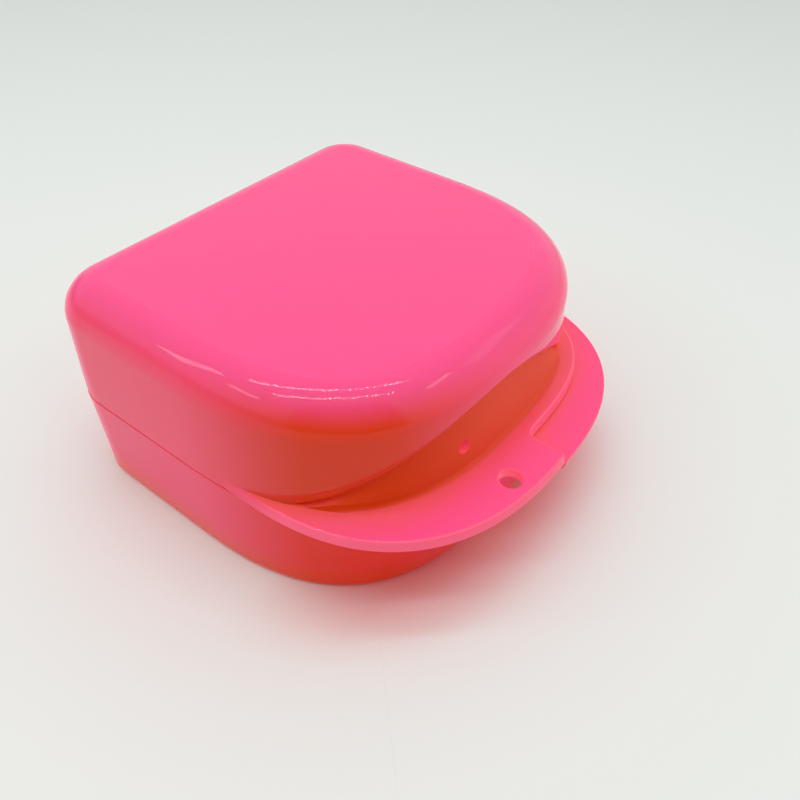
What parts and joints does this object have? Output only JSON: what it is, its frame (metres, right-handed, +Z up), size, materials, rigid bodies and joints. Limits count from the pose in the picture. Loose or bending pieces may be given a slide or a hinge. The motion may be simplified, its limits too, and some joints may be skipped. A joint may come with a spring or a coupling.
{
  "type": "denture case",
  "caption": "Pocket case for a denture or retainer: a tray and a domed lid on a back hinge, staggered finger tabs, a lanyard hole and a vent.",
  "frame": {"origin": "on the surface that the case stands on, under the middle of the body's outline, tabs and hinge left out", "axes": "+Z up, -Y towards the finger tabs at the front, +Y towards the hinge, +X to the right as seen from the front"},
  "size_m": [0.08, 0.0877, 0.0429],
  "materials": {
    "base_plastic": "glossy moulded polypropylene, slightly translucent",
    "lid_plastic": "glossy moulded polypropylene, slightly translucent",
    "pin_plastic": "glossy moulded polypropylene"
  },
  "bodies": {
    "base": {"base": "base_plastic", "hinge_pin": "pin_plastic"},
    "lid": {"lid": "lid_plastic"}
  },
  "joints": [
    {"name": "lid_hinge", "type": "hinge", "parent": "base", "child": "lid", "pos_m": [0, 0.03815, 0.02145], "axis": [-1, 0, 0], "range_deg": [0, 180]}
  ]
}
